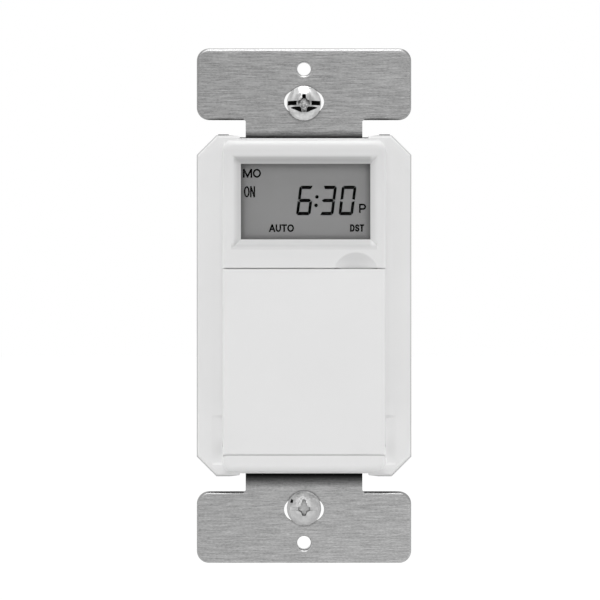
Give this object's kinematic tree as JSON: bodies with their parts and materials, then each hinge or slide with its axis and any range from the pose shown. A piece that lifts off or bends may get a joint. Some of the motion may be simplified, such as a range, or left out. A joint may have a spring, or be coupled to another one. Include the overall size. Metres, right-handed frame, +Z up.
{
  "type": "timer light switch",
  "caption": "Wall timer switch with a steel mounting strap, a raised white front, a bevelled display window and a flip-down door over its setting keys.",
  "frame": {"origin": "middle of the strap's back face, halfway between the two wall plate holes", "axes": "+Z up the wall, +X to the right, the front faces -Y and the box screws point along +Y into the wall"},
  "size_m": [0.0438, 0.0412, 0.105],
  "materials": {
    "white_moulding": "satin moulded",
    "brushed_strap": "brushed",
    "zinc_screw": "zinc plated",
    "fibre": "pressed fibre",
    "clear_lens": "polished",
    "display": "reflective liquid crystal",
    "pale_plastic": "moulded",
    "contact_rubber": "plain",
    "light_key": "satin moulded",
    "grey_key": "satin moulded",
    "circuit_board": "solder mask",
    "black_plastic": "moulded",
    "metal_can": "drawn",
    "dark_housing": "moulded",
    "blue_case": "moulded",
    "red_case": "moulded",
    "fuse_body": "moulded",
    "brass": "plain"
  },
  "bodies": {
    "chassis": {"front_cover": "white_moulding", "mounting_strap": "brushed_strap", "mounting_screws": "zinc_screw", "board_screws": "zinc_screw", "case_screws": "zinc_screw", "screw_retainers": "fibre", "lens": "clear_lens", "lcd_glass": "display", "lcd_frame": "pale_plastic", "zebra_strip": "contact_rubber", "control_board": "circuit_board", "power_board": "circuit_board", "tact_switches": "black_plastic", "controller_chip": "black_plastic", "cell_holder": "black_plastic", "rectifier": "black_plastic", "link_header": "black_plastic", "smoothing_capacitor": "black_plastic", "clock_crystal": "metal_can", "backup_cell": "metal_can", "rear_housing": "dark_housing", "relay": "blue_case", "varistor": "blue_case", "film_capacitor": "red_case", "fuse": "fuse_body", "lead_eyelets": "brass"},
    "door": {"door": "white_moulding"},
    "manual_key": {"manual_key": "light_key"},
    "clock_key": {"clock_key": "grey_key"},
    "day_key": {"day_key": "grey_key"},
    "hour_key": {"hour_key": "grey_key"},
    "minute_key": {"minute_key": "grey_key"},
    "program_key": {"program_key": "grey_key"},
    "mode_key": {"mode_key": "grey_key"},
    "reset_button": {"reset_button": "grey_key"}
  },
  "joints": [
    {"name": "door_hinge", "type": "hinge", "parent": "chassis", "child": "door", "pos_m": [0, -0.0074, -0.02725], "axis": [1, 0, 0], "range_deg": [0, 110]},
    {"name": "manual_key_press", "type": "slide", "parent": "chassis", "child": "manual_key", "axis": [0, 1, 0], "range_m": [0, 0.0003], "stiffness_N_per_m": 3000, "springref_m": -0.0002},
    {"name": "clock_key_press", "type": "slide", "parent": "chassis", "child": "clock_key", "axis": [0, 1, 0], "range_m": [0, 0.0003], "stiffness_N_per_m": 3000, "springref_m": -0.0002},
    {"name": "day_key_press", "type": "slide", "parent": "chassis", "child": "day_key", "axis": [0, 1, 0], "range_m": [0, 0.0003], "stiffness_N_per_m": 3000, "springref_m": -0.0002},
    {"name": "hour_key_press", "type": "slide", "parent": "chassis", "child": "hour_key", "axis": [0, 1, 0], "range_m": [0, 0.0003], "stiffness_N_per_m": 3000, "springref_m": -0.0002},
    {"name": "minute_key_press", "type": "slide", "parent": "chassis", "child": "minute_key", "axis": [0, 1, 0], "range_m": [0, 0.0003], "stiffness_N_per_m": 3000, "springref_m": -0.0002},
    {"name": "program_key_press", "type": "slide", "parent": "chassis", "child": "program_key", "axis": [0, 1, 0], "range_m": [0, 0.0003], "stiffness_N_per_m": 3000, "springref_m": -0.0002},
    {"name": "mode_key_press", "type": "slide", "parent": "chassis", "child": "mode_key", "axis": [0, 1, 0], "range_m": [0, 0.0003], "stiffness_N_per_m": 3000, "springref_m": -0.0002},
    {"name": "reset_button_press", "type": "slide", "parent": "chassis", "child": "reset_button", "axis": [0, 1, 0], "range_m": [0, 0.0003], "stiffness_N_per_m": 3000, "springref_m": -0.0002}
  ]
}
